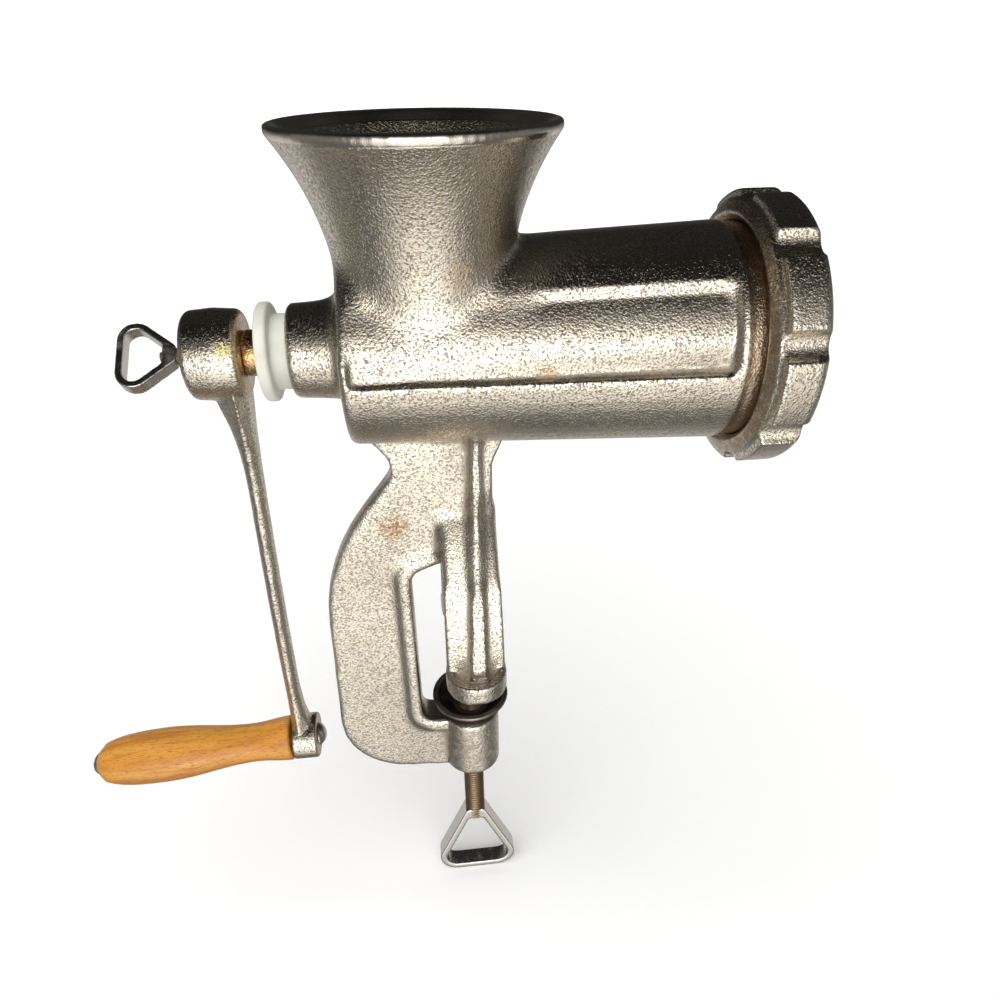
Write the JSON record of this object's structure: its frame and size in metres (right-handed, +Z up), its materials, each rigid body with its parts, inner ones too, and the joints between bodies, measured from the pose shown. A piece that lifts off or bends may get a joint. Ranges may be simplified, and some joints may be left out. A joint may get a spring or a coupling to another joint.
{
  "type": "manual meat grinder",
  "caption": "Hand-cranked table-clamp meat grinder: tinned casting with flared hopper, worm, knife, plate, notched ring nut, crank with wooden grip and screw clamp.",
  "frame": {"origin": "on the table top between the two feet, on the axis of the clamp screw", "axes": "+X along the barrel to the outlet, +Y across, +Z up along the clamp screw"},
  "size_m": [0.2925, 0.096, 0.3731],
  "materials": {
    "tinned_iron": "tinned sand casting, satin with a sandy grain",
    "bright_steel": "ground and turned steel",
    "loop_steel": "bent strap, plated",
    "screw_steel": "rolled thread with brown oxide",
    "pad_steel": "dark pressed dish with a worn bright rim",
    "bushing_plastic": "milky white, satin",
    "grip_wood": "turned beech, varnished"
  },
  "bodies": {
    "body": {"body_casting": "tinned_iron", "rear_bushing": "bushing_plastic", "plate_key": "bright_steel"},
    "drive": {"auger": "tinned_iron", "knife_stud": "bright_steel", "knife": "bright_steel", "crank_arm": "tinned_iron", "handle_bolt": "bright_steel"},
    "grip": {"handle_grip": "grip_wood"},
    "washer": {"crank_washer": "bright_steel"},
    "thumbscrew": {"crank_screw": "screw_steel", "crank_loop": "loop_steel"},
    "plate": {"grinding_plate": "bright_steel"},
    "ring": {"ring_nut": "tinned_iron"},
    "pad": {"pressure_pad": "pad_steel"},
    "clamp": {"clamp_screw": "screw_steel", "clamp_loop": "loop_steel"}
  },
  "joints": [
    {"name": "crank_turn", "type": "hinge", "parent": "body", "child": "drive", "pos_m": [0, 0, 0.141], "axis": [1, 0, 0], "continuous": true},
    {"name": "grip_spin", "type": "hinge", "parent": "drive", "child": "grip", "pos_m": [-0.0784, 0, -0.049], "axis": [-0.998, 0, -0.0628], "continuous": true},
    {"name": "washer_slide", "type": "slide", "parent": "drive", "child": "washer", "axis": [-1, 0, 0], "range_m": [0, 0.012]},
    {"name": "thumbscrew_turn", "type": "hinge", "parent": "washer", "child": "thumbscrew", "pos_m": [-0.095, 0, 0.141], "axis": [-1, 0, 0], "range_deg": [0, 4320]},
    {"name": "plate_slide", "type": "slide", "parent": "body", "child": "plate", "axis": [1, 0, 0], "range_m": [0, 0.007]},
    {"name": "ring_turn", "type": "hinge", "parent": "plate", "child": "ring", "pos_m": [0.1, 0, 0.141], "axis": [1, 0, 0], "range_deg": [0, 630]},
    {"name": "pad_rise", "type": "slide", "parent": "body", "child": "pad", "axis": [0, 0, 1], "range_m": [0, 0.0285]},
    {"name": "clamp_screw_turn", "type": "hinge", "parent": "pad", "child": "clamp", "pos_m": [0, 0, -0.06], "axis": [0, 0, 1], "range_deg": [0, 6840]}
  ],
  "couplings": [
    {"joint": "thumbscrew_turn", "follows": "washer_slide", "rad_per_m": 6283.2},
    {"joint": "plate_slide", "follows": "ring_turn", "m_per_rad": 0.00063662},
    {"joint": "clamp_screw_turn", "follows": "pad_rise", "rad_per_m": 4188.8}
  ]
}
